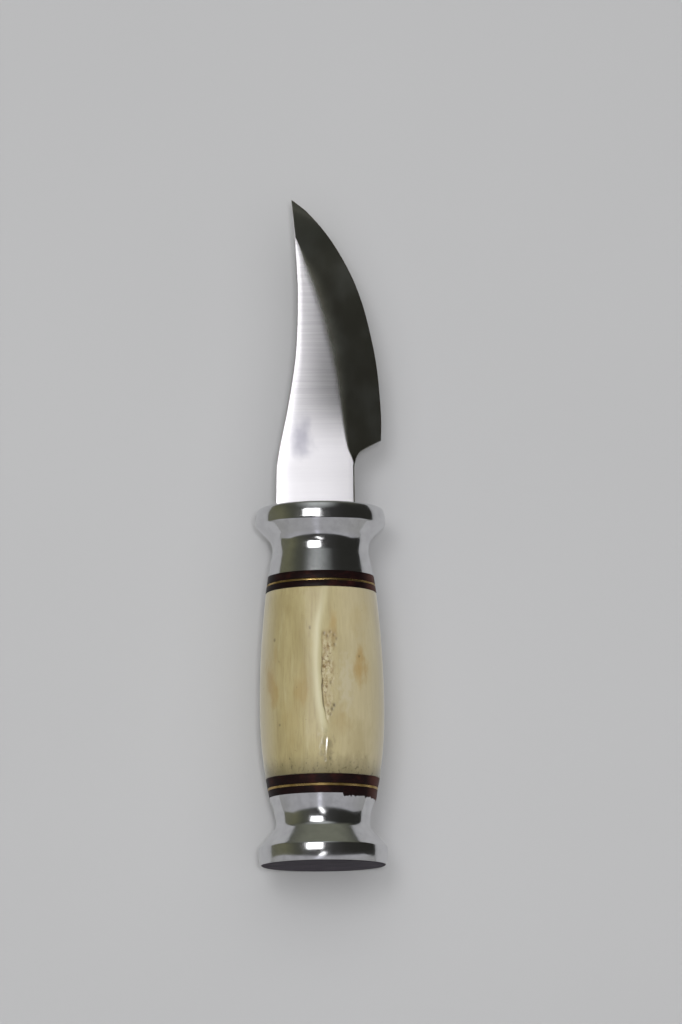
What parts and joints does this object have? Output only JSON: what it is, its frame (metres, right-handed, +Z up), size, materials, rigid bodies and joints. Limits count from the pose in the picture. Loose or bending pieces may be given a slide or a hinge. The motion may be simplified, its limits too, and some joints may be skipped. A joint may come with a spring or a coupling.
{
  "type": "hunting knife",
  "caption": "Fixed-blade hunting knife with an upswept ground blade, oval waisted guard and pommel, and a bone barrel grip between brown and brass spacers.",
  "frame": {"origin": "on the surface that the knife lies on, below the middle of its bounding box", "axes": "+Y along the knife from the pommel to the tip, +X across the blade from the back to the cutting edge, +Z up from the surface"},
  "size_m": [0.0342, 0.18, 0.0259],
  "materials": {
    "blade_steel": "ground flat, brushed across, with a smoother dark bevel",
    "polished_aluminium": "polished",
    "spacer_fibre": "dark reddish brown fibre, dressed flush and buffed",
    "brass": "buffed",
    "bone": "cream bone with fine streaks along the grain, semi-gloss",
    "bedding_resin": "cast, hidden inside the grip"
  },
  "bodies": {
    "root": {"blade": "blade_steel", "guard": "polished_aluminium", "front_outer_liner": "spacer_fibre", "front_brass_ring": "brass", "front_inner_liner": "spacer_fibre", "bone_grip": "bone", "bedding_resin": "bedding_resin", "rear_inner_liner": "spacer_fibre", "rear_brass_ring": "brass", "rear_outer_liner": "spacer_fibre", "pommel": "polished_aluminium"}
  },
  "joints": []
}
